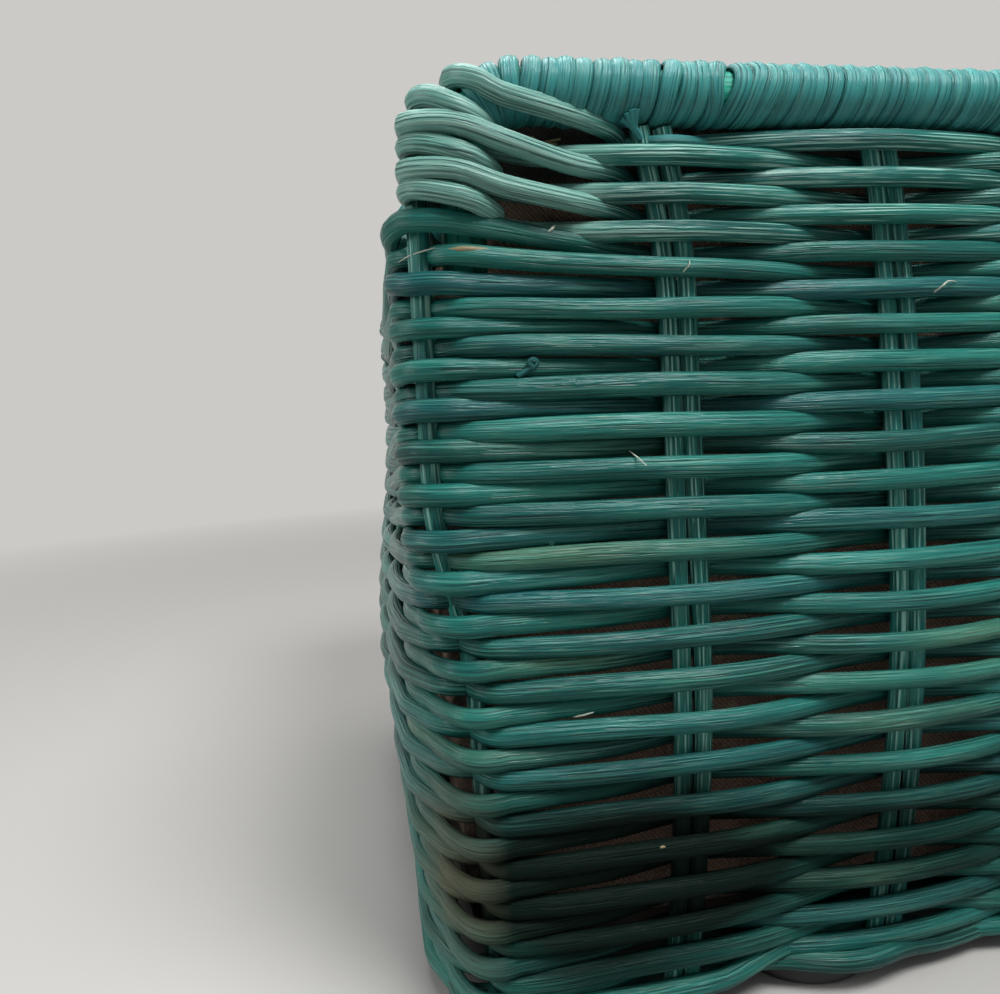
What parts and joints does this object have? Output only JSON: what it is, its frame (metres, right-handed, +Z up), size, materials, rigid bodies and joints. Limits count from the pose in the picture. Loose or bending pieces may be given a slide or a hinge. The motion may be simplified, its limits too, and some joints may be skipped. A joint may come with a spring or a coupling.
{
  "type": "basket box bag",
  "caption": "Hand-woven round-reed box bag with wrapped top frames, a hinged drop-in lid, a folding handle, a magnetic leather tab, a cloth lining and round feet.",
  "frame": {"origin": "on the floor under the middle of the bag", "axes": "+X to the bag's right seen from the front, +Y to the rear, +Z up; the front wall with the closing tab faces -Y"},
  "size_m": [0.253, 0.1439, 0.1411],
  "materials": {
    "reed": "dyed teal-green reed, semi-gloss, grooved along its length",
    "cane_wrap": "dyed blue-green cane, semi-gloss",
    "rod": "bright teal dyed rod, satin",
    "board": "plain board",
    "lining_cloth": "tan twill",
    "foot_black": "satin black",
    "steel": "plain",
    "magnet": "black",
    "leather": "smooth black"
  },
  "bodies": {
    "basket": {"front_weave": "reed", "rear_weave": "reed", "left_weave": "reed", "right_weave": "reed", "front_upper_weave": "reed", "rear_upper_weave": "reed", "front_frame_rod": "rod", "rear_frame_rod": "rod", "front_rim_wrap": "cane_wrap", "rear_rim_wrap": "cane_wrap", "front_left_turns": "reed", "front_right_turns": "reed", "rear_left_turns": "reed", "rear_right_turns": "reed", "left_border": "cane_wrap", "right_border": "cane_wrap", "base_weave": "reed", "base_board": "board", "lining": "lining_cloth", "foot_front_left": "foot_black", "foot_front_right": "foot_black", "foot_rear_left": "foot_black", "foot_rear_right": "foot_black", "foot_screws": "steel", "hinge_loop_left": "cane_wrap", "hinge_loop_right": "cane_wrap", "wall_magnet": "magnet"},
    "lid": {"lid_rod": "rod", "lid_wrap": "cane_wrap", "lid_weave": "reed", "lid_lining": "lining_cloth", "handle_loop_left": "cane_wrap", "handle_loop_right": "cane_wrap", "closing_tab": "leather", "tab_magnet": "magnet", "tab_rivets": "steel"},
    "handle": {"handle_rod": "rod", "handle_wrap": "cane_wrap"}
  },
  "joints": [
    {"name": "lid_hinge", "type": "hinge", "parent": "basket", "child": "lid", "pos_m": [0, 0.0521, 0.12075], "axis": [-1, 0, 0], "range_deg": [0, 90]},
    {"name": "handle_swing", "type": "hinge", "parent": "lid", "child": "handle", "pos_m": [0, 0, 0.12913], "axis": [-1, 0, 0], "range_deg": [0, 110]}
  ]
}
